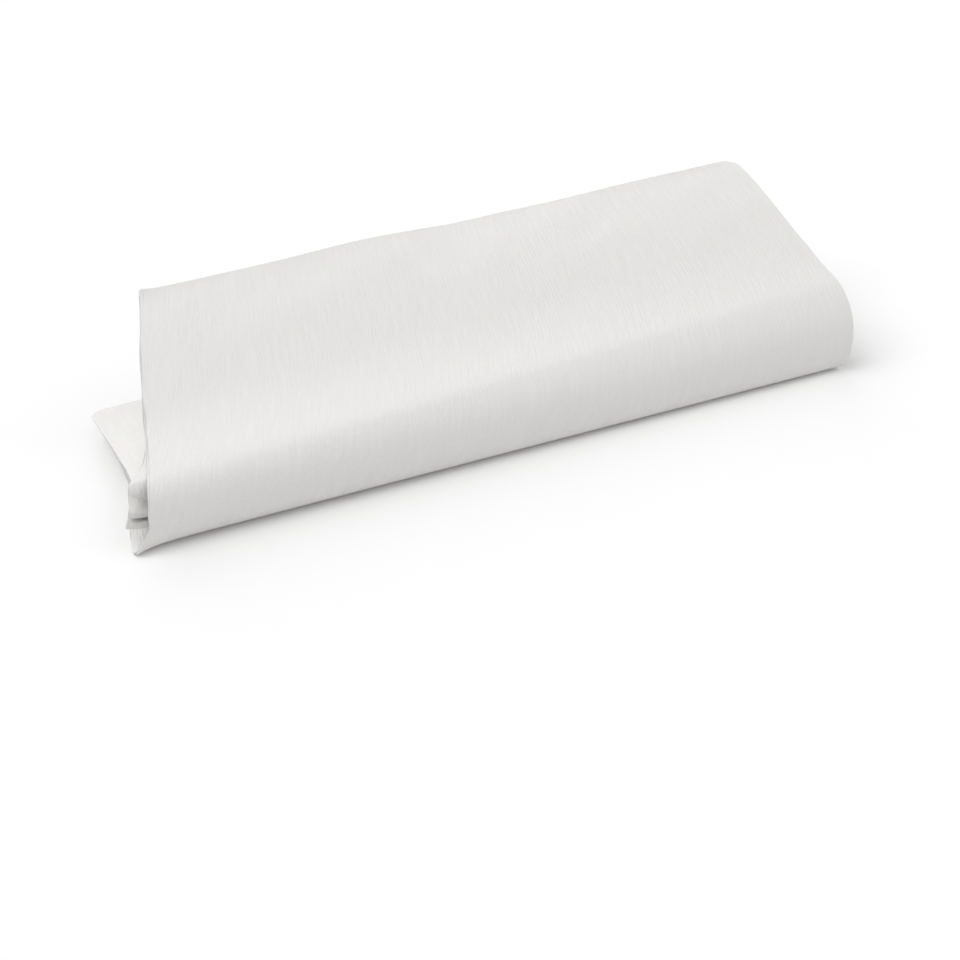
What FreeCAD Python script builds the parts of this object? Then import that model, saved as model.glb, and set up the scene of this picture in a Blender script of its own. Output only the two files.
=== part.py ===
import FreeCAD, Part
import math
import os

# A disposable linen-look tablecloth, folded into a packet and lying on its lowest panel.
# The cloth is folded in quarters across, so the packet is a quarter of its width long, and
# in half along. That eight-ply strip is then folded to and fro into eight panels. The first
# and last panels are joined by the spine, the big round fold at the front, which wraps the
# three small folds of the panels between. The upper two panels spring open as a flap.
#
# Millimetres. x runs along the packet, y from the spine to the rear edge, z up. The origin is
# the middle of the footprint, on the face that the packet rests on. "left" and "right" are the
# packet's ends, and every panel is ruled between its two end sections. Panels 1 to 6 are the
# pressed ones, counted from the floor up. A slide is how far an edge lies along x from where
# a square fold would put it, because the cloth was folded a little askew.

DIMENSIONS = [
    ("opened_width", 1380.0),  # the cloth laid flat, across
    ("opened_length", 2200.0),  # the cloth laid flat, along
    ("folds_across", 4.0),  # quarters
    ("folds_along", 16.0),  # in half, then eight panels
    ("ply_stack", 1.4),  # thickness of the eight plies of one panel
    ("layer_step", 2.2),  # from one panel to the next where they lie pressed together
    ("spine_height_left", 32.5),
    ("spine_height_right", 47.5),
    ("spine_bulge_left", 5.5),  # how far the spine stands in front of its lower edge
    ("spine_bulge_right", 10.0),
    ("spine_corner_left", 0.5),  # 0.8 is a round top to the spine, less is a creased one
    ("spine_corner_right", 0.8),
    ("spine_foot_left", 8.0),  # y where the spine meets the lowest panel
    ("spine_foot_right", 1.5),
    ("flap_height_left", 73.5),  # rear edge of the sprung flap
    ("flap_height_right", 71.5),
    ("foot_slide_left", -4.0),  # the spine's lower edge
    ("foot_slide_right", 4.5),
    ("belly_slide_left", 3.0),  # halfway up the spine, beyond the mean of its two edges
    ("belly_slide_right", 3.0),
    ("top_slide_left", 11.5),  # the spine's upper edge
    ("top_slide_right", 5.5),
    ("flap_slide_left", 29.0),  # the flap's rear edge
    ("flap_slide_right", 29.0),
    ("flap_corner_left", 2.5),  # how round the flap's rear corners are
    ("flap_corner_right", 9.0),
    ("base_corner", 8.0),  # how round the pressed panels' rear corners are
]

PANEL_STEPS = 9  # steps between stations along a panel, shorter towards its front edge
TURN_STEPS = 5  # steps round a small fold
SPINE_STEPS = 9  # steps round the spine
SPINE_ROUND = 0.75  # the spine's roundness below
INNER_REACH = 4.5  # where the small front folds begin
FLAP_START = 5.0  # where the spine passes into the flap
FLAP_SAG = 0.72  # the flap's slope at the spine, as a share of its mean slope
FRONT_DROP = 18.0  # over this depth the flap's lower panel sinks to its small fold
UNDER_SLIDE = -2.0  # the flap's lower panel against its upper one
FLARE_UNDER = -8.5  # how the flap's lower panel and panel 6 slide on towards their small fold
FLARE_TOP = -3.0
EDGE_BOW = 1.5  # how the pressed panels' ends bow

# A panel's last stations are set back from its rear edge by these shares of its corner's radius.
CORNER_SHARES = [1.2, 0.6, 0.2, 0.0]

# Small front folds, from the lowest up: lower and upper panel heights as shares of the spine's.
INNER_FOLDS = [(0.39, 0.46), (0.54, 0.61), (0.845, 0.915)]
# How far the rear edges of panels 1 to 6 fall short of the full depth.
REAR_STEPS = [1.5, 6.0, 2.5, 2.5, 0.8, 0.8]
# Slides of the front and rear edges of panels 1 to 6. The spine slides panel 1's front edge.
FRONT_SLIDES = [0.0, -3.8, -2.8, -1.7, -0.8, 4.5]
REAR_SLIDES = [-4.0, -5.0, -6.0, -6.5, -10.5, -11.5]


def readDimensions(doc):
    """The driving dimensions, put into a sheet of the document and read back from it."""
    sheet = doc.addObject("Spreadsheet::Sheet", "dimensions")
    for row, (name, value) in enumerate(DIMENSIONS, 1):
        sheet.set("A%d" % row, name)
        sheet.set("B%d" % row, str(value))
        sheet.setAlias("B%d" % row, name)
    doc.recompute()
    return {name: float(sheet.get(name)) for name, _ in DIMENSIONS}


def endSection(size, side):
    """The values of one end of the packet, worked out from the driving dimensions."""
    height = size["spine_height_" + side]
    half = size["ply_stack"] / 2
    depth = size["opened_length"] / size["folds_along"]
    rise = size["flap_height_" + side] - height
    frontHeights = [half]
    for low, high in INNER_FOLDS:
        frontHeights += [low * height, high * height]
    return {
        "x": 0.0 if side == "left" else size["opened_width"] / size["folds_across"],
        "inward": 1 if side == "left" else -1,
        "half": half,
        "height": height - half,
        "rise": rise,
        "depth": depth,
        "reach": math.sqrt(depth**2 - rise**2),
        "step": size["layer_step"],
        "bulge": size["spine_bulge_" + side] - half,
        "corner": size["spine_corner_" + side],
        "footY": size["spine_foot_" + side],
        "foot": size["foot_slide_" + side],
        "belly": size["belly_slide_" + side],
        "top": size["top_slide_" + side],
        "flap": size["flap_slide_" + side],
        "flapRound": size["flap_corner_" + side],
        "baseRound": size["base_corner"],
        "frontHeights": frontHeights,
    }


def panelDepths(front, rear, radius):
    """Where a panel's stations lie between its front and rear edges."""
    depths = [front + (rear - front) * (i / PANEL_STEPS) ** 1.5 for i in range(PANEL_STEPS)]
    return depths + [rear - max(radius, 2.0) * share for share in CORNER_SHARES]


def cornerPull(radius, toEdge):
    """How far a rounded corner pulls the end inwards at this distance from the rear edge."""
    if toEdge >= radius:
        return 0.0
    return radius - math.sqrt(radius**2 - (radius - max(toEdge, 0.0)) ** 2)


def frontShare(y):
    """From 1 at the flap's front edge down to 0 where its lower panel runs level with it."""
    return max(0.0, 1 - max(0.0, y - FLAP_START) / FRONT_DROP) ** 2


def pressedPanel(end, number):
    """Stations of panel 1 to 6 from front to rear: it sinks from its fold and flattens."""
    index = number - 1
    yFront = end["footY"] if number == 1 else INNER_REACH
    yRear = end["depth"] - REAR_STEPS[index]
    zFront = end["frontHeights"][index]
    zRear = end["half"] + end["step"] * index
    slideFront = FRONT_SLIDES[index] + (end["foot"] if number == 1 else 0.0)
    stations = []
    for y in panelDepths(yFront, yRear, end["baseRound"]):
        u = (y - yFront) / (yRear - yFront)
        z = zRear + (zFront - zRear) * (1 - u) ** 2
        slide = slideFront + (REAR_SLIDES[index] - slideFront) * u**EDGE_BOW
        if number == 6:
            slide += FLARE_TOP * frontShare(y)
        pull = end["inward"] * cornerPull(end["baseRound"], yRear - y)
        stations.append((end["x"] + slide + pull, y, z))
    return stations


def flapPanel(end, isLower):
    """Stations of one of the flap's two panels from front to rear: it steepens as it rises."""
    early, late = FLAP_SAG, 2 - FLAP_SAG
    step = end["step"] * end["depth"] / end["reach"]
    stations = []
    for y in panelDepths(FLAP_START, end["reach"], end["flapRound"]):
        u = (y - FLAP_START) / (end["reach"] - FLAP_START)
        climb = early * u + (3 - 2 * early - late) * u**2 + (early + late - 2) * u**3
        z = end["height"] + end["rise"] * climb
        x = end["x"] + end["top"] + (end["flap"] - end["top"]) * u
        if isLower:
            z -= step + frontShare(y) * (end["height"] - step - end["frontHeights"][6])
            x += UNDER_SLIDE + FLARE_UNDER * frontShare(y)
        pull = end["inward"] * cornerPull(end["flapRound"], end["reach"] - y)
        stations.append((x + pull, y, z))
    return stations


def smallFold(start, finish, outward):
    """A half-round turn between two panels' edges: outward is -1 at the front, 1 at the rear."""
    radius = abs(finish[2] - start[2]) / 2
    stations = []
    for i in range(1, TURN_STEPS):
        angle = math.pi * i / TURN_STEPS
        share = (1 - math.cos(angle)) / 2
        x, y, z = [a + (b - a) * share for a, b in zip(start, finish)]
        stations.append((x, y + outward * radius * math.sin(angle), z))
    return stations


def spine(end):
    """The big fold, from the lowest panel's front edge up to the flap: half an oval."""
    radius = (end["height"] - end["half"]) / 2
    forward = end["footY"] + end["bulge"]
    stations = []
    for i in range(1, SPINE_STEPS):
        share = i / SPINE_STEPS
        angle = math.pi * (share - 0.5)
        roundness = SPINE_ROUND + (end["corner"] - SPINE_ROUND) * max(0.0, math.sin(angle))
        back = end["footY"] + (FLAP_START - end["footY"]) * share
        slide = end["foot"] + (end["top"] - end["foot"]) * share
        slide += end["belly"] * math.sin(math.pi * share)
        stations.append((
            end["x"] + slide,
            back - forward * math.cos(angle) ** roundness,
            end["half"] + radius * (1 + math.sin(angle)),
        ))
    return stations


def middleLine(end):
    """The strip's middle line at one end, from panel 1's rear edge round to panel 2's."""
    pressed = {number: pressedPanel(end, number) for number in range(1, 7)}
    upper = flapPanel(end, isLower=False)
    under = flapPanel(end, isLower=True)
    line = pressed[1][::-1] + spine(end) + upper
    line += smallFold(upper[-1], under[-1], 1) + under[::-1]
    line += smallFold(under[0], pressed[6][0], -1) + pressed[6]
    for number in (5, 3):
        line += smallFold(pressed[number + 1][-1], pressed[number][-1], 1)
        line += pressed[number][::-1]
        line += smallFold(pressed[number][0], pressed[number - 1][0], -1)
        line += pressed[number - 1]
    return line


def sideLine(line, offset):
    """The middle line moved sideways in its own section by the offset."""
    moved = []
    for i, (x, y, z) in enumerate(line):
        before, after = line[max(i - 1, 0)], line[min(i + 1, len(line) - 1)]
        dy, dz = after[1] - before[1], after[2] - before[2]
        scale = offset / math.hypot(dy, dz)
        moved.append(FreeCAD.Vector(x, y - scale * dz, z + scale * dy))
    return moved


def ruledSurfaces(first, second):
    """Surfaces ruled between two cubic curves with even knots, one surface for each span."""
    spans = len(first) - 3
    knots = [float(i) for i in range(spans + 1)]
    mults = [4] + [1] * (spans - 1) + [4]
    rows = [[a, b] for a, b in zip(first, second)]
    surfaces = []
    for i in range(spans):
        surface = Part.BSplineSurface()
        surface.buildFromPolesMultsKnots(rows, mults, [2, 2], knots, [0, 1], False, False, 3, 1)
        surface.segment(knots[i], knots[i + 1], 0, 1)
        surfaces.append(surface)
    return surfaces


def restingFace(surfaces):
    """The flat spans of the lowest panel's underside as one plane face."""
    edges = [surface.vIso(v).toShape() for surface in surfaces for v in (0, 1)]
    for surface, u in ((surfaces[0], 0), (surfaces[-1], 1)):
        ends = [surface.getPole(1 if u == 0 else surface.NbUPoles, v) for v in (1, 2)]
        edges.append(Part.makeLine(*ends))
    return Part.Face(Part.Wire(Part.sortEdges(edges)[0]))


def endFace(corners):
    """The narrow four-cornered face of one of the strip's free edges."""
    surface = Part.BSplineSurface()
    surface.buildFromPolesMultsKnots(corners, [2, 2], [2, 2], [0, 1], [0, 1], False, False, 1, 1)
    return surface.toShape()


def foldedStrip(size):
    """The solid: its broad faces, those along the packet's ends and two at the free edges."""
    half = size["ply_stack"] / 2
    leftLine = middleLine(endSection(size, "left"))
    rightLine = middleLine(endSection(size, "right"))
    leftOuter, leftInner = sideLine(leftLine, half), sideLine(leftLine, -half)
    rightOuter, rightInner = sideLine(rightLine, half), sideLine(rightLine, -half)
    outer = ruledSurfaces(leftOuter, rightOuter)
    flat = [surface for surface in outer if max(abs(p.z) for p in sum(surface.getPoles(), [])) < 1e-6]
    surfaces = outer[len(flat):] + ruledSurfaces(leftInner, rightInner)
    surfaces += ruledSurfaces(leftOuter, leftInner) + ruledSurfaces(rightOuter, rightInner)
    faces = [restingFace(flat)] + [surface.toShape() for surface in surfaces]
    for at in (0, -1):
        faces.append(endFace([[leftOuter[at], leftInner[at]], [rightOuter[at], rightInner[at]]]))
    shell = Part.makeShell(faces)
    shell.sewShape()
    solid = Part.makeSolid(Part.makeShell(shell.Faces))
    if solid.Volume < 0:
        solid.reverse()
    return solid


doc = FreeCAD.newDocument("tablecloth_packet")
cloth = doc.addObject("Part::Feature", "tablecloth")
cloth.Label = "tablecloth"
cloth.Shape = foldedStrip(readDimensions(doc))
box = cloth.Shape.BoundBox
cloth.Placement.Base = FreeCAD.Vector(-box.Center.x, -box.Center.y, -box.ZMin)
doc.recompute()

for item in doc.Objects:
    if "Invalid" in item.State or "Error" in item.State:
        raise RuntimeError("%s could not be built" % item.Name)
if cloth.Shape.isNull() or not cloth.Shape.isValid() or len(cloth.Shape.Solids) != 1:
    raise RuntimeError("the folded cloth is not one valid solid")

os.makedirs("parts", exist_ok=True)
cloth.Shape.exportStep("parts/tablecloth.step")
box = cloth.Shape.BoundBox
print("packet %.1f x %.1f x %.1f mm" % (box.XLength, box.YLength, box.ZLength))
print("solid %.0f cubic mm" % cloth.Shape.Volume)
print("moved by", [round(v, 2) for v in cloth.Placement.Base])
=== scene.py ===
import math

import bpy
import numpy as np
from mathutils import Matrix, Vector


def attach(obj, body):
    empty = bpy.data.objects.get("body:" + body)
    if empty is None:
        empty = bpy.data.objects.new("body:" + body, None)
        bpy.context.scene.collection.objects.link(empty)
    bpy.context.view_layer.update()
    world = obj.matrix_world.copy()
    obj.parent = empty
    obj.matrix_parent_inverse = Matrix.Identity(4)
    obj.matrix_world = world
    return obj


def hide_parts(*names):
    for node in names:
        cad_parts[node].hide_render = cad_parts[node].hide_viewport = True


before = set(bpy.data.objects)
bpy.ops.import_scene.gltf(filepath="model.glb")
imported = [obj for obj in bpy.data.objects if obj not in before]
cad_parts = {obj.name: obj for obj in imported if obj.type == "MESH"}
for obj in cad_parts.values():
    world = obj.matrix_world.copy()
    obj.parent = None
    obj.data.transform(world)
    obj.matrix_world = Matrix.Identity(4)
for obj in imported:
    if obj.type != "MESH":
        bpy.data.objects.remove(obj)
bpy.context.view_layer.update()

# A linen-look paper tablecloth, folded into a packet. Its eight plies lie together as one
# strip, and the strip is folded to and fro into eight panels.
# The strip is a surface of two parameters. The path runs from the lowest panel's rear edge,
# round the spine, up and down the sprung flap and to and fro through the pressed panels. The
# share runs along the packet, from its left end (0) to its right end (1).
# Millimetres, with x along the packet from its left end, y from the spine to the rear and z up.
# Two values in brackets are for the left and the right end. A slide is how far an edge lies
# along x from where a square fold would put it.
packet = {
    "corner": (-181.15, -65.11),  # where x and y are zero in the frame
    "length": 345.0,
    "panelDepth": 137.5,
    "plies": 8,
    "plyStack": 1.4,  # thickness of the eight plies
    "layerStep": 2.2,  # from one pressed panel to the next
    "spineHeight": (34.0, 41.3),
    "spineBulge": (5.2, 14.4),
    "spineCorner": (0.76, 1.43),  # the spine's roundness at its top: more is rounder
    "spineRound": 0.747,  # and from its middle down
    "spineSag": (1.11, 1.01),  # over 1 puts the spine's belly higher
    "spineFoot": (12.0, 2.8),
    "flapHeight": (71.2, 72.5),
    "flapStart": (8.0, 16.7),
    "flapFront": (0.087, 0.123),  # the flap's slope where it leaves the spine
    "flapShoulder": (48.2, 26.0),  # how far back it turns steeper
    "flapEase": (92.9, 104.8),  # and how far back it eases again
    "easeSlope": (0.109, 0.11),
    "turnRound": 6.16,  # how gently it does both
    "flapCorner": (0.8, 9.0),
    "baseCorner": 8.0,
    "footSlide": (-9.0, 5.9),
    "bellySlide": (6.0, -0.25),
    "topSlide": (11.2, 15.1),
    "flapSlide": (29.5, 25.1),
    "flapBow": (1.36, 1.0),  # how the flap's ends curve, 1 is straight
    "underSlide": -0.6,  # the flap's lower panel against its upper one
    "flareUnder": -8.5,
    "sheetSlide": (-4.2, 4.0),  # the lowest panel behind its front edge
    "sheetFlare": (1.0, 2.0),
    "frontDrop": 18.0,  # over this depth a panel flares, and the flap's lower one drops to its fold
    "innerReach": 4.5,  # how far back the small folds begin
    "innerFolds": ((0.39, 0.46), (0.54, 0.61), (0.845, 0.915)),  # as shares of the spine's height
    "edgeBow": 1.5,  # how the pressed panels' ends curve
    # the lists below are for panels 1 to 6, from the lowest up
    "rearSteps": (1.5, 6.0, 2.5, 2.5, 0.8, 0.8),  # how far they stop short of the full depth
    "frontSlides": (0.0, 2.7, 3.2, 4.3, 4.2, 4.5),
    "rearSlides": (5.0, -5.0, -6.0, -6.5, -10.5, -11.5),
    "frontFlares": (0.0, -6.5, -6.0, -6.0, -5.0, -3.0),  # what the front edge slides beyond that
    "frontSinks": (0.0, 2.7, 2.7, 2.7, 2.7, 6.5),  # how far the folds sink away from the left end
    "grainSlant": 0.22,  # how far the grain runs along the packet for each mm over the shoulder
    "grainReach": 22.0,
    "grainLead": 5.0,  # how far behind the flap's start that is steepest
}
crumple = {
    # humps and dips along the flap's rear edge: place as a share of it, half width, height
    "rearHumps": ((0.33, 0.09, 1.2), (0.50, 0.07, -0.9), (0.65, 0.10, -1.0)),
    "crown": ((230.0, 78.0), (130.0, 32.0), 1.8),  # the flap's swell: place, half sizes, height
    "rearLip": (0.7, 2.5),  # how far the rear edge turns up, and its reach
    "ear": (1.3, 5.0, 7.0),  # the flap's left rear corner: rise, reach along x, reach along y
    "cloud": (0.45, 48.0),  # depth and width of the soft unevenness over the flap
    "dents": 9,
    "dent": 0.9,  # depth of the deepest one
    "dentsAlong": (25.0, 320.0),  # where the dents begin, and over what length they lie
    "dentsBehind": (96.0, 126.0),
    "dentLengths": (4.0, 11.0),
    "dentWidths": (1.8, 3.5),
    "dentTurns": (0.9, 2.2),  # radians from the packet's length
    "tip": (12.4, 0.8, 7.0),  # the lower left corner: place on the path, reach there, reach along x
    "tipPull": 3.6,  # how far it is drawn forwards
    "tipDrop": 1.0,
    # the plies fan out at the left end: places on the path and how far
    "fanPlaces": (14.0, 15.2, 16.2, 19.5, 22.0, 27.0, 33.0),
    "fan": (0.0, 0.4, 2.0, 2.0, 1.5, 0.7, 0.0),
    "fanTurn": (18.0, 22.0),  # between these places it goes over from the inner plies to the outer
    "endReach": 6.0,  # how far from the left end the fan fades and the folds have sunk
    "plyShift": (0.3, 35.0),  # how far single plies stand out at the packet's ends, over what length
    "plyRound": 0.12,  # roundness of one ply's edge
    "shortPlies": (0.35, 8.0),  # the bundle's top plies: their thickness, how far they fall short
    "seed": 12,
}
meshing = {
    "panelStations": 9,  # stations along a panel, before those of its rounded corner
    "cornerStations": (1.2, 0.6, 0.2, 0.0),  # in radii before the rear edge
    "leastCorner": 2.0,  # the radius that these take at least
    "foldStations": 4,
    "spineStations": 8,
    "rowGap": 2.6,  # between rows where the cloth shows
    "hiddenGap": 7.0,  # and inside the packet
    "shown": (11, 50),  # the places on the path between which the cloth shows
    "rowTurn": 14.0,  # degrees that the path turns from one row to the next
    "columns": 88,
    "crowding": 0.11,  # how much closer the columns stand near the ends
    "endColumns": (0.1, 0.4),  # two more, so that the light turns at the very edge
}


def ends(name):
    # the two ends' values of one entry, as a column that spreads over stations
    return np.array(packet[name], float).reshape(2, 1)


def panelDepths(front, rear, radius):
    # depth = front + (rear - front) * step ** 1.5, then the corner's stations: rear - radius * share
    count = meshing["panelStations"]
    body = front + (rear - front) * (np.arange(count) / count) ** 1.5
    corner = rear - np.maximum(radius, meshing["leastCorner"]) * np.array(meshing["cornerStations"])
    return np.concatenate([body, corner + 0 * body[:, :1]], axis=1)


def frontShare(y):
    # share = (1 - depth behind the flap's start / drop) squared, and 0 beyond the drop
    return np.clip(1 - np.clip(y - ends("flapStart"), 0, None) / packet["frontDrop"], 0, None) ** 2


def station(x, y, z, toEdge, radius, flap=0.0, top=0.0, sink=0.0):
    # one panel's stations: place, distance to its rear edge, corner radius, two marks that say
    # how much of the flap and of the bundle's top they are, and how far they sink inside
    return np.stack(np.broadcast_arrays(x, y, z, toEdge, radius, flap, top, sink), axis=-1).astype(float)


half = packet["plyStack"] / 2
spineHigh = ends("spineHeight")
startX = np.array([[0.0], [packet["length"]]])
frontHeights = [half + 0 * spineHigh]
for low, high in packet["innerFolds"]:
    frontHeights += [low * spineHigh, high * spineHigh]
flapRise = ends("flapHeight") - spineHigh
flapReach = np.sqrt(packet["panelDepth"] ** 2 - flapRise**2)


def pressedPanel(number):
    # z = rear + (front - rear) * (1 - u)^2, and x slides by front + (rear - front) * u^bow
    index = number - 1
    front = ends("spineFoot") if number == 1 else packet["innerReach"] + 0 * spineHigh
    rear = packet["panelDepth"] - packet["rearSteps"][index] + 0 * spineHigh
    y = panelDepths(front, rear, packet["baseCorner"])
    u = (y - front) / (rear - front)
    low = half + packet["layerStep"] * index
    z = low + (frontHeights[index] - low) * (1 - u) ** 2
    slideFront, flare, bow = packet["frontSlides"][index], packet["frontFlares"][index], packet["edgeBow"]
    if number == 1:
        slideFront, flare, bow = ends("sheetSlide"), ends("sheetFlare"), 1.0
    slide = slideFront + (packet["rearSlides"][index] - slideFront) * u**bow + flare * frontShare(y)
    sink = packet["frontSinks"][index] * frontShare(y)
    return station(startX + slide, y, z, rear - y, packet["baseCorner"], 0.0, float(number == 6), sink)


def softStep(t):
    # round * ln(1 + exp(t / round)): 0 well before the turn and t well after it
    return packet["turnRound"] * np.log1p(np.exp(t / packet["turnRound"]))


def turned(t, turn):
    # the way gained by a turn, counted from t = 0: softStep(t - turn) - softStep(-turn)
    return softStep(t - turn) - softStep(-turn)


def flapPanel(isLower):
    # z = spine + front * t + steeper * turned(t, shoulder) - easing * turned(t, ease), t being
    # the distance behind the flap's start and steeper what brings the rear edge to its height;
    # the lower panel drops to its small fold at the front
    start = ends("flapStart")
    y = panelDepths(start, flapReach, ends("flapCorner"))
    t, whole = y - start, flapReach - start
    u = t / whole
    front, easing = ends("flapFront"), ends("easeSlope")
    shoulder, ease = ends("flapShoulder") - start, ends("flapEase") - start
    steeper = (flapRise + easing * turned(whole, ease) - front * whole) / turned(whole, shoulder)
    z = spineHigh - half + front * t + steeper * turned(t, shoulder) - easing * turned(t, ease)
    x = startX + ends("topSlide") + (ends("flapSlide") - ends("topSlide")) * u ** ends("flapBow")
    if isLower:
        step = packet["layerStep"] * packet["panelDepth"] / flapReach
        z = z - step - frontShare(y) * (spineHigh - half - step - frontHeights[6])
        x = x + packet["underSlide"] + packet["flareUnder"] * frontShare(y)
    return station(x, y, z, flapReach - y, ends("flapCorner"), u)


def smallFold(start, finish, outward):
    # half a turn between two edges: y moves out by radius * sin(angle)
    count = meshing["foldStations"]
    angle = math.pi * np.arange(1, count + 1) / (count + 1)
    share = ((1 - np.cos(angle)) / 2).reshape(1, count, 1)
    turn = start[:, None] + (finish - start)[:, None] * share
    turn[:, :, 1] += outward * np.abs(finish - start)[:, 2:3] / 2 * np.sin(angle)
    return turn


def spineTurn():
    # half an oval: y = back - bulge * cos(belly)^round, z = half + radius * (1 + sin(angle)),
    # angle = pi * (share - 1/2) and belly = pi * (share^sag - 1/2)
    count = meshing["spineStations"]
    share = np.arange(1, count + 1).reshape(1, count) / (count + 1)
    angle = math.pi * (share - 0.5)
    top = np.clip(np.sin(angle), 0, None)
    roundness = packet["spineRound"] * (1 - top) + ends("spineCorner") * top
    foot = ends("spineFoot")
    belly = math.pi * (share ** ends("spineSag") - 0.5)
    y = foot + (ends("flapStart") - foot) * share
    y = y - (foot + ends("spineBulge") - half) * np.cos(belly) ** roundness
    z = half + (spineHigh / 2 - half) * (1 + np.sin(angle))
    slide = ends("footSlide") + (ends("topSlide") - ends("footSlide")) * share
    slide = slide + ends("bellySlide") * np.sin(math.pi * share)
    return station(startX + slide, y, z, packet["panelDepth"], packet["baseCorner"])


def foldPath():
    # the stations of both ends in the order of the path
    pressed = {number: pressedPanel(number) for number in range(1, 7)}
    upper, under = flapPanel(False), flapPanel(True)
    parts = [pressed[1][:, ::-1], spineTurn(), upper, smallFold(upper[:, -1], under[:, -1], 1)]
    parts += [under[:, ::-1], smallFold(under[:, 0], pressed[6][:, 0], -1), pressed[6]]
    for number in (5, 3):
        parts += [smallFold(pressed[number + 1][:, -1], pressed[number][:, -1], 1)]
        parts += [pressed[number][:, ::-1]]
        parts += [smallFold(pressed[number][:, 0], pressed[number - 1][:, 0], -1)]
        parts += [pressed[number - 1]]
    return np.concatenate(parts, axis=1)


def curveWeights(places, count):
    # cubic B-spline with even knots, by the Cox-de Boor rule: each degree mixes two neighbours
    spans = count - 3
    knots = np.concatenate([np.zeros(3), np.arange(spans + 1), np.full(3, spans)]).astype(float)
    t = np.minimum(places, spans - 1e-9)[:, None]
    weights = ((t >= knots[:-1]) & (t < knots[1:])).astype(float)
    for degree in (1, 2, 3):
        left, right = knots[: -degree - 1], knots[degree + 1:]
        wide = knots[degree:-1] - left
        wideNext = right - knots[1:-degree]
        up = np.where(wide > 0, (t - left) / np.where(wide > 0, wide, 1), 0)
        down = np.where(wideNext > 0, (right - t) / np.where(wideNext > 0, wideNext, 1), 0)
        weights = up * weights[:, :-1] + down * weights[:, 1:]
    return weights


def cornerPull(toEdge, radius):
    # a rounded corner pulls the end inwards by r - sqrt(r^2 - (r - t)^2), t being the distance
    # to the panel's rear edge
    inside = np.clip(radius - np.clip(toEdge, 0, None), 0, None)
    return radius - np.sqrt(np.clip(radius**2 - inside**2, 0, None))


def rowPlaces(stations):
    # rows stand closer where the cloth shows, where it turns and in the rounded corners: places
    # are even steps of the sum of length / gap + turn / row's turn + pull / 1 mm
    spans = stations.shape[1] - 3
    fine = np.linspace(0, spans, spans * 8 + 1)
    line = curveWeights(fine, stations.shape[1]) @ stations
    move = np.diff(line[:, :, :3], axis=1)
    length = np.linalg.norm(move, axis=2)
    heading = np.unwrap(np.arctan2(move[:, :, 2], move[:, :, 1]), axis=1)
    turn = np.abs(np.diff(heading, axis=1, append=heading[:, -1:]))
    between = (fine[1:] + fine[:-1]) / 2
    first, final = meshing["shown"]
    gap = np.where((between > first) & (between < final), meshing["rowGap"], meshing["hiddenGap"])
    rounding = np.abs(np.diff(cornerPull(line[:, :, 3], line[:, :, 4]), axis=1))
    cost = (length / gap + turn / math.radians(meshing["rowTurn"]) + rounding).max(axis=0)
    total = np.concatenate([[0], np.cumsum(cost)])
    return np.interp(np.linspace(0, total[-1], int(total[-1]) + 1), total, fine)


def columnShares():
    # shares stand closer near the ends: share = t - crowding * sin(2 pi t), with the end columns
    t = np.linspace(0, 1, meshing["columns"])
    close = np.array(meshing["endColumns"]) / packet["length"]
    spread = t - meshing["crowding"] * np.sin(2 * math.pi * t)
    return np.sort(np.concatenate([spread, close, 1 - close]))


def smoothNoise(x, y, size, seed):
    # a sum of twelve sine waves of about this size in random directions, between about -1 and 1
    waves = 12
    random = np.random.default_rng(seed)
    turn, phase = random.uniform(0, 2 * math.pi, (2, waves))
    wave = 2 * math.pi / (size * random.uniform(0.7, 1.5, waves))
    along = x[..., None] * np.cos(turn) + y[..., None] * np.sin(turn)
    return np.sin(along * wave + phase).sum(axis=-1) / 4


def bump(x, y, place, size, turn=0.0):
    # exp(-(a^2 + b^2)), a and b being the distances along and across, each over its half size
    dx, dy = x - place[0], y - place[1]
    a = (dx * math.cos(turn) + dy * math.sin(turn)) / size[0]
    b = (dy * math.cos(turn) - dx * math.sin(turn)) / size[1]
    return np.exp(-(a * a + b * b))


def crumpled(x, y, flap, behind):
    # how far the flap stands off its smooth shape: the sum of humps and dips along its rear edge,
    # height * exp(-(way / width)^2), a crown, a turned-up lip and a raised corner that fade as
    # exp(-way / reach), soft unevenness that grows to the rear, and short dents
    onFlap = flap > 0
    behind = np.clip(behind, 0, None)
    share = (x - packet["flapSlide"][0]) / packet["length"]
    rise = 0 * x
    for place, width, height in crumple["rearHumps"]:
        rise += height * np.exp(-(((share - place) / width) ** 2)) * flap**3
    place, size, height = crumple["crown"]
    rise += height * bump(x, y, place, size) * np.sin(math.pi * np.clip(share, 0, 1)) * flap
    height, reach = crumple["rearLip"]
    rise += height * np.exp(-behind / reach) * onFlap
    height, reachAlong, reachBehind = crumple["ear"]
    rise += height * np.exp(-(x - x[:, :1]) / reachAlong - behind / reachBehind) * onFlap
    depth, width = crumple["cloud"]
    rise += depth * smoothNoise(x, y, width, crumple["seed"] + 1) * np.sin(math.pi * flap) ** 0.5 * flap
    random = np.random.default_rng(crumple["seed"] + 2)
    begin, length = crumple["dentsAlong"]
    for i in range(crumple["dents"]):
        along = begin + (i + random.uniform(0.1, 0.9)) * length / crumple["dents"]
        place = (along, random.uniform(*crumple["dentsBehind"]))
        size = (random.uniform(*crumple["dentLengths"]), random.uniform(*crumple["dentWidths"]))
        depth = crumple["dent"] * random.uniform(0.4, 1)
        rise -= depth * bump(x, y, place, size, random.uniform(*crumple["dentTurns"])) * onFlap
    return rise


def surfaceNormals(points):
    # the cross product of the steps along the path and along the packet
    along = np.gradient(points, axis=0)
    across = np.gradient(points, axis=1)
    normal = np.cross(across, along)
    return normal / np.linalg.norm(normal, axis=2, keepdims=True)


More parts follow.
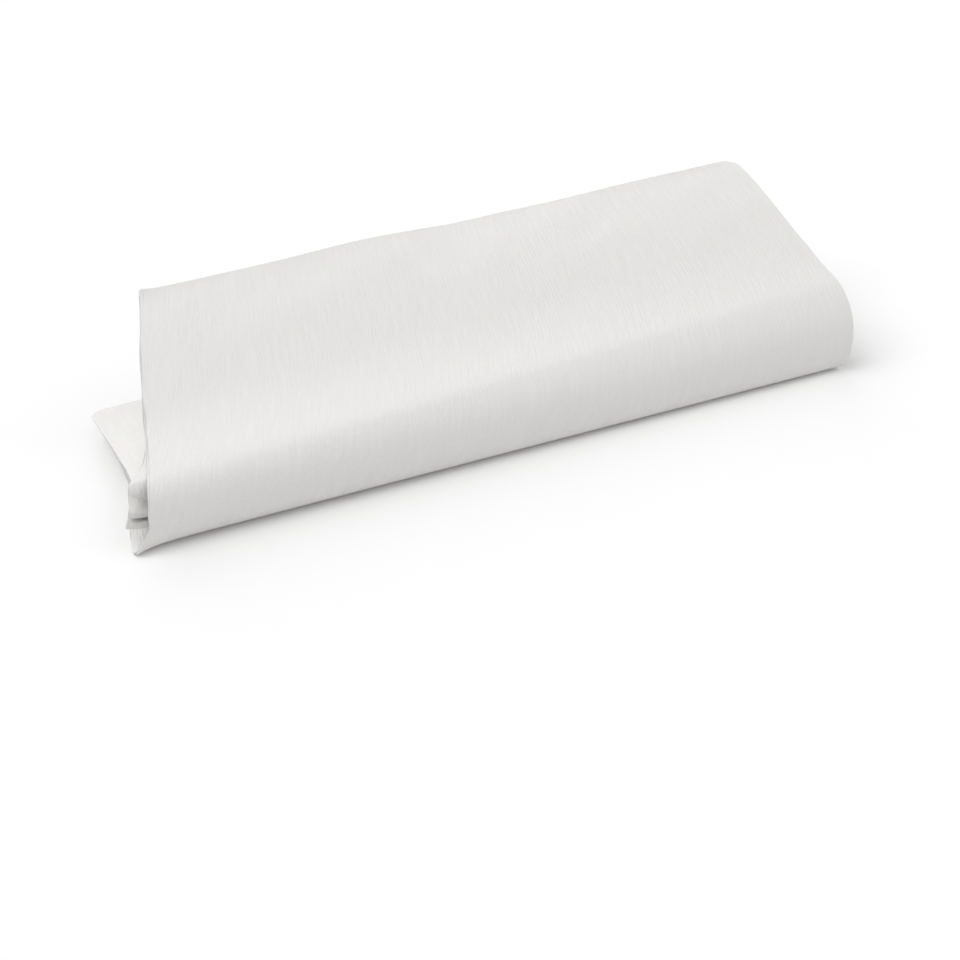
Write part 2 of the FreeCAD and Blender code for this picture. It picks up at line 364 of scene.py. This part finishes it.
stations = foldPath()
places = rowPlaces(stations)
shares = columnShares()
rows = curveWeights(places, stations.shape[1]) @ stations
print("fold path", len(places), "rows", len(shares), "columns")

# Both ends' rows are joined straight across, and their corners are rounded.
pull = cornerPull(rows[:, :, 3], rows[:, :, 4])
across = shares[None, :, None]
grid = rows[0][:, None] * (1 - across) + rows[1][:, None] * across
inward = pull[0][:, None] * (1 - shares) - pull[1][:, None] * shares
middle = grid[:, :, :3].copy()
middle[:, :, 0] += inward

# Away from the left end the folds sink, by sink * (1 - exp(-way / reach)), and the lower left
# corner is pulled forwards and down to a tip, by exp(-(place / reach)^2 - way / reach).
fromLeft = middle[:, :, 0] - middle[:, :1, 0]
middle[:, :, 2] -= grid[:, :, 7] * (1 - np.exp(-fromLeft / crumple["endReach"]))
tipPlace, tipReach, tipAlong = crumple["tip"]
tip = np.exp(-(((places[:, None] - tipPlace) / tipReach) ** 2) - fromLeft / tipAlong)
middle[:, :, 1] -= crumple["tipPull"] * tip
middle[:, :, 2] = np.maximum(middle[:, :, 2] - crumple["tipDrop"] * tip, half)
middle[:, :, 2] += crumpled(middle[:, :, 0], middle[:, :, 1], np.clip(grid[:, :, 5], 0, 1), grid[:, :, 3])
facing = surfaceNormals(middle)
print("folds and dents")

# The strip's wall goes round each row: the outer face, the right end, the inner face and the
# left end. depth is 1 on the outer face and -1 on the inner one.
last = len(shares) - 1
plySteps = packet["plies"] * 2
edge = 1 - 2 * np.arange(1, plySteps) / plySteps
rim, face = np.ones(plySteps - 1), np.ones(last + 1)
allColumns = np.arange(last + 1)
ringColumn = np.concatenate([allColumns, last * rim, allColumns[::-1], 0 * rim]).astype(int)
ringDepth = np.concatenate([face, edge, -face, -edge])
ringEnd = np.concatenate([0 * face, rim, 0 * face, -rim])
rowSteps = np.diff(rows.mean(axis=0)[:, :3], axis=0)
pathLength = np.concatenate([[0], np.cumsum(np.linalg.norm(rowSteps, axis=1))])


def plyEdges(path, depth):
    # each ply stands out by shift * noise along the path, on a line of the noise of its own, and
    # is round: round * |sin(pi * ply)|; the outer faces stay in place, by 1 - |depth|^8
    shift, length = crumple["plyShift"]
    ply = (1 - depth) / 2 * packet["plies"]
    loose = smoothNoise(path, 9.0 * np.floor(ply), length, crumple["seed"] + 5)
    return (shift * loose + crumple["plyRound"] * np.abs(np.sin(math.pi * ply))) * (1 - np.abs(depth) ** 8)


def wallPoints():
    # point = middle + normal * half * depth, and at the ends + outward * plyEdges. At the left
    # end the bundle's top plies fall short, by short * (1 - tanh(2 * (way - reach))) / 2, and
    # the plies fan out, by fan * lean * exp(-way / reach): the inner ones reach further left on
    # the spine, and the outer ones less far left on the flap
    way = fromLeft[:, ringColumn]
    short, shortReach = crumple["shortPlies"]
    onTop = grid[:, ringColumn, 6] * (ringDepth > 0)
    thick = half - short * onTop * (1 - np.tanh(2 * (way - shortReach))) / 2
    points = middle[:, ringColumn] + facing[:, ringColumn] * (thick * ringDepth)[:, :, None]
    fan = np.interp(places, crumple["fanPlaces"], crumple["fan"])[:, None]
    lean = np.interp(places, crumple["fanTurn"], (0, 1))[:, None] - (1 - ringDepth) / 2
    points[:, :, 0] += fan * lean * np.exp(-way / crumple["endReach"])
    points[:, :, 0] += plyEdges(pathLength[:, None], ringDepth[None, :]) * ringEnd
    return points


def gridFaces(index):
    # four neighbours of the index grid make one face
    corners = (index[:-1, :-1], index[1:, :-1], index[1:, 1:], index[:-1, 1:])
    return np.stack([corner.ravel() for corner in corners], axis=-1)


def capIndex(ring, first):
    # the index grid over a free edge: its border is the ring, its inside gets new points
    count = last + 1
    index = np.empty((plySteps + 1, count), int)
    index[0] = ring[:count]
    index[1:-1, last] = ring[count:count + plySteps - 1]
    index[-1] = ring[count + plySteps - 1:2 * count + plySteps - 1][::-1]
    index[1:-1, 0] = ring[2 * count + plySteps - 1:][::-1]
    index[1:-1, 1:last] = first + np.arange((plySteps - 1) * (count - 2)).reshape(plySteps - 1, count - 2)
    return index


def capPoints(row):
    # inside a free edge: the same wall, with its plies standing out to the rear
    depth = edge[:, None]
    points = middle[row, None, 1:last] + facing[row, None, 1:last] * (half * depth)[:, :, None]
    points[:, :, 1] += plyEdges(middle[row, 1:last, 0][None, :], depth)
    return points.reshape(-1, 3)


wall = wallPoints()
index = np.arange(wall.shape[0] * wall.shape[1]).reshape(wall.shape[:2])
closed = np.concatenate([index, index[:, :1]], axis=1)
caps = [capPoints(0), capPoints(-1)]
firstCap = capIndex(index[0], index.size)
lastCap = capIndex(index[-1], index.size + len(caps[0]))
faces = np.concatenate([gridFaces(closed), gridFaces(firstCap), gridFaces(lastCap[:, ::-1])])
points = np.concatenate([wall.reshape(-1, 3)] + caps)

# The pattern's own coordinates, in millimetres: along the packet and along the path. The grain
# runs askew round the shoulder: skew = slant * reach * tanh(path behind the flap's start / reach).
flapBegins = np.argmax(rows[0, :, 5] > 0.01)
overShoulder = pathLength - pathLength[flapBegins] - packet["grainLead"]
skew = packet["grainSlant"] * packet["grainReach"] * np.tanh(overShoulder / packet["grainReach"])
uvAlong = packet["length"] * shares[None, ringColumn] + (inward - skew[:, None])[:, ringColumn]
uvPath = np.broadcast_to(pathLength[:, None], uvAlong.shape)
pattern = np.stack([uvAlong, uvPath], axis=-1).reshape(-1, 2)
pattern = np.concatenate([pattern] + [cap[:, :2] for cap in caps])

points[:, :2] += packet["corner"]
points[:, 2] -= min(points[:, 2].min(), 0)


def addMesh(name, points, faces, pattern):
    # points in millimetres, faces of four, and the pattern's coordinates as a UV map
    mesh = bpy.data.meshes.new(name)
    mesh.vertices.add(len(points))
    mesh.vertices.foreach_set("co", (points / 1000).astype(np.float32).ravel())
    mesh.loops.add(faces.size)
    mesh.loops.foreach_set("vertex_index", faces.astype(np.int32).ravel())
    mesh.polygons.add(len(faces))
    mesh.polygons.foreach_set("loop_start", np.arange(0, faces.size, 4, dtype=np.int32))
    mesh.update(calc_edges=True)
    layer = mesh.uv_layers.new(name="weave")
    layer.data.foreach_set("uv", pattern[faces.ravel()].astype(np.float32).ravel())
    mesh.polygons.foreach_set("use_smooth", np.ones(len(faces), bool))
    mesh.validate()
    piece = bpy.data.objects.new(name, mesh)
    bpy.context.scene.collection.objects.link(piece)
    return piece


tablecloth = addMesh("foldedCloth", points, faces, pattern)
print("folded cloth", len(points), "points", len(faces), "faces")


def colour(code):
    # an sRGB hex colour turned to linear light
    values = [int(code[i:i + 2], 16) / 255 for i in (1, 3, 5)]
    return [v / 12.92 if v <= 0.04045 else ((v + 0.055) / 1.055) ** 2.4 for v in values] + [1.0]


def addNode(tree, kind, settings=None, links=None):
    # one node, with its properties, its inputs' values and its inputs' links; an input goes by
    # its name or its number
    node = tree.nodes.new(kind)
    for name, value in (settings or {}).items():
        if isinstance(name, int) or name in node.inputs:
            node.inputs[name].default_value = value
        else:
            setattr(node, name, value)
    for name, source in (links or {}).items():
        tree.links.new(source, node.inputs[name])
    return node


# Airlaid paper, sold as a linen-look or linen-feel disposable cloth: cellulose fluff bonded
# with latex and embossed between rollers. It is soft and near-white with a faint sheen, its
# slubs run along the strip, and a fine crossed weave is pressed in.
paperLook = {
    "shade": "#EDECEA",
    "lowToneAndPaintedShade": "#E8E7E5",  # the darker end: painted shade in the hollows between the slubs, and the low end of the fluff's own random tone
    "slubPaintedShade": 0.4,  # how much painted shade darkens the hollows between the slubs
    "cloudTone": 0.6,
    "roughness": 0.5,
    "ior": 1.45,
    "sheen": 0.6,  # specular level
    # lengths and depths in millimetres
    "slubGap": 0.95,
    "slubLength": 26.0,
    "slubDepth": 0.1,
    "slubEdges": (0.38, 0.66),  # closer together is sharper
    "threadGap": 0.9,  # the real threads are 0.4 mm apart, too fine to show
    "threadLength": 7.0,
    "threadDepth": 0.08,
    "crossShare": 0.5,  # the threads across, against those along the path
    "ribGap": 1.5,  # the real ribs are finer too
    "ribDepth": 0.045,
    "ribTurn": 32.0,  # degrees between the slubs and the ribs
    "ribWander": 1.5,
    "cloudSize": (7.0, 10.5),  # the fluff's own unevenness, across and along the path
    "cloudEdges": (0.25, 0.6),
}


def linenPaper():
    # height = slubs * clouds + ribs + (crossed threads * share + threads), each by its depth, and shade =
    # slubs * slub painted shade + clouds * cloud tone, from the low shade to the high one: the slubs' part is
    # painted shade, darker in the hollows between the slubs, and the clouds' part is the fluff's own random
    # tone
    look = paperLook
    material = bpy.data.materials.new("airlaidLinenPaper")
    material.use_nodes = True
    tree = material.node_tree
    tree.nodes.clear()
    uv = addNode(tree, "ShaderNodeUVMap", {"uv_map": "weave"}).outputs["UV"]

    def placed(settings):
        return addNode(tree, "ShaderNodeMapping", settings, {"Vector": uv}).outputs["Vector"]

    def streaks(gap, length, detail):
        # noise stretched along the path: one unit of it is gap across and length along
        place = placed({"Scale": (1 / gap, 1 / length, 1)})
        noise = addNode(tree, "ShaderNodeTexNoise", {"Scale": 1.0, "Detail": detail, "Roughness": 0.5},
                        {"Vector": place})
        return noise.outputs["Fac"]

    def ribs(gap, turn, wander):
        # even ribs, gap apart: a wave's own period is 2 pi / 20
        place = placed({"Rotation": (0, 0, math.radians(turn))})
        settings = {"Scale": math.pi / 10 / gap, "Distortion": wander, "Detail": 1.0}
        return addNode(tree, "ShaderNodeTexWave", settings, {"Vector": place}).outputs["Fac"]

    def sharpened(value, edges):
        # 0 below the first edge and 1 above the second, smooth between
        settings = {"interpolation_type": "SMOOTHSTEP", "From Min": edges[0], "From Max": edges[1]}
        return addNode(tree, "ShaderNodeMapRange", settings, {"Value": value}).outputs["Result"]

    def product(values, links):
        return addNode(tree, "ShaderNodeMath", {"operation": "MULTIPLY", **values}, links).outputs["Value"]

    def sums(first, factor, second):
        # first * factor + second
        return addNode(tree, "ShaderNodeMath", {"operation": "MULTIPLY_ADD", 1: factor},
                       {0: first, 2: second}).outputs["Value"]

    clouds = streaks(*look["cloudSize"], 2.0)
    slubs = sharpened(streaks(look["slubGap"], look["slubLength"], 0.0), look["slubEdges"])
    threads = streaks(look["threadGap"], look["threadLength"], 1.0)
    crossed = streaks(look["threadLength"], look["threadGap"], 1.0)
    twill = ribs(look["ribGap"], look["ribTurn"], look["ribWander"])
    # the slubs come and go with the clouds, and the crossed weave shows between them
    patchy = product({}, {0: slubs, 1: sharpened(clouds, look["cloudEdges"])})
    height = product({1: look["threadDepth"]}, {0: sums(crossed, look["crossShare"], threads)})
    height = sums(twill, look["ribDepth"], height)
    height = sums(patchy, look["slubDepth"], height)
    millimetre = 0.001
    emboss = addNode(tree, "ShaderNodeBump", {"Strength": 1.0, "Distance": millimetre}, {"Height": height})
    # the tone: painted shade, darker in the hollows between the slubs, plus the fluff's own random tone from
    # the clouds
    toneAndPaintedShade = sums(slubs, look["slubPaintedShade"], product({1: look["cloudTone"]}, {0: clouds}))
    shade = addNode(tree, "ShaderNodeMix", {"data_type": "RGBA", 6: colour(look["lowToneAndPaintedShade"]),
                    7: colour(look["shade"])}, {0: toneAndPaintedShade})
    paper = addNode(tree, "ShaderNodeBsdfPrincipled",
                    {"Roughness": look["roughness"], "IOR": look["ior"], "Specular IOR Level": look["sheen"]},
                    {"Base Color": shade.outputs[2], "Normal": emboss.outputs["Normal"]})
    addNode(tree, "ShaderNodeOutputMaterial", None, {"Surface": paper.outputs["BSDF"]})
    return material


tablecloth.data.materials.append(linenPaper())
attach(tablecloth, "root")
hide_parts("tablecloth")
print("paper")

# The studio: a white floor and an even white sky that show white to the camera, and soft lamps
# from the rear, the left and the front right. Metres.
studio = {
    "cameraPlace": (-0.16148, -0.53224, 0.27635),
    "cameraForward": (0.2427, 0.8283, -0.505),
    "cameraUp": (0.2575, 0.4469, 0.8567),
    "lens": 44.7,
    "white": "#FFFFFF",
    "sky": 0.2,
    "floorHalf": 6.0,
    "floorLift": 0.06,  # what the floor is short of white
    # each lamp: height angle, compass angle clockwise from the rear, strength
    "lamps": {"rear": (33.0, 0.0, 0.32), "left": (60.0, 270.0, 0.44), "front": (45.0, 135.0, 0.27)},
    "lampAngle": 60.0,  # how large each lamp looks, so how soft its shadow is
}


def seenStraight(tree):
    # 1 where a ray comes from the camera, a gloss or a glass, and 0 where it only brings light
    path = addNode(tree, "ShaderNodeLightPath").outputs
    gloss = addNode(tree, "ShaderNodeMath", {"operation": "MAXIMUM"},
                    {0: path["Is Glossy Ray"], 1: path["Is Transmission Ray"]})
    seen = addNode(tree, "ShaderNodeMath", {"operation": "MAXIMUM"},
                   {0: path["Is Camera Ray"], 1: gloss.outputs["Value"]})
    return seen.outputs["Value"]


def whiteFloor():
    # it keeps the shadow, and lift * seen straight makes up what it is short of white
    side = studio["floorHalf"]
    mesh = bpy.data.meshes.new("floor")
    corners = [(-side, -side, 0), (side, -side, 0), (side, side, 0), (-side, side, 0)]
    mesh.from_pydata(corners, [], [(0, 1, 2, 3)])
    floor = bpy.data.objects.new("floor", mesh)
    bpy.context.scene.collection.objects.link(floor)
    material = bpy.data.materials.new("studioPaper")
    material.use_nodes = True
    tree = material.node_tree
    tree.nodes.clear()
    white = colour(studio["white"])
    lift = addNode(tree, "ShaderNodeMath", {"operation": "MULTIPLY", 1: studio["floorLift"]},
                   {0: seenStraight(tree)})
    paper = addNode(tree, "ShaderNodeBsdfDiffuse", {"Color": white})
    glow = addNode(tree, "ShaderNodeEmission", {"Color": white}, {"Strength": lift.outputs["Value"]})
    both = addNode(tree, "ShaderNodeAddShader", None, {0: paper.outputs["BSDF"], 1: glow.outputs["Emission"]})
    addNode(tree, "ShaderNodeOutputMaterial", None, {"Surface": both.outputs["Shader"]})
    mesh.materials.append(material)


def studioSky():
    # strength = the larger of the sky's light and 1 where it is seen straight
    world = bpy.data.worlds.new("studioSky")
    world.use_nodes = True
    tree = world.node_tree
    tree.nodes.clear()
    strength = addNode(tree, "ShaderNodeMath", {"operation": "MAXIMUM", 1: studio["sky"]},
                       {0: seenStraight(tree)})
    sky = addNode(tree, "ShaderNodeBackground", {"Color": colour(studio["white"])},
                  {"Strength": strength.outputs["Value"]})
    addNode(tree, "ShaderNodeOutputWorld", None, {"Surface": sky.outputs["Background"]})
    bpy.context.scene.world = world


def studioLamps():
    # a sun's energy is pi * strength, so that a strength of 1 shows a colour as it is written
    for name, (rise, compass, strength) in studio["lamps"].items():
        lamp = bpy.data.lights.new(name, "SUN")
        lamp.energy = strength * math.pi
        lamp.angle = math.radians(studio["lampAngle"])
        holder = bpy.data.objects.new(name, lamp)
        holder.rotation_euler = (math.radians(90 - rise), 0, math.radians(180 - compass))
        bpy.context.scene.collection.objects.link(holder)


def studioCamera():
    # right = forward x up, with up made square to forward
    scene = bpy.context.scene
    forward = Vector(studio["cameraForward"]).normalized()
    up = Vector(studio["cameraUp"])
    up = (up - forward * up.dot(forward)).normalized()
    right = forward.cross(up)
    lens = bpy.data.cameras.new("camera")
    lens.lens = studio["lens"]
    lens.clip_start = 0.01
    camera = bpy.data.objects.new("camera", lens)
    turn = Matrix((right, up, -forward)).transposed().to_4x4()
    camera.matrix_world = Matrix.Translation(studio["cameraPlace"]) @ turn
    scene.collection.objects.link(camera)
    scene.camera = camera
    scene.view_settings.view_transform = "Standard"


whiteFloor()
studioSky()
studioLamps()
studioCamera()
print("studio")
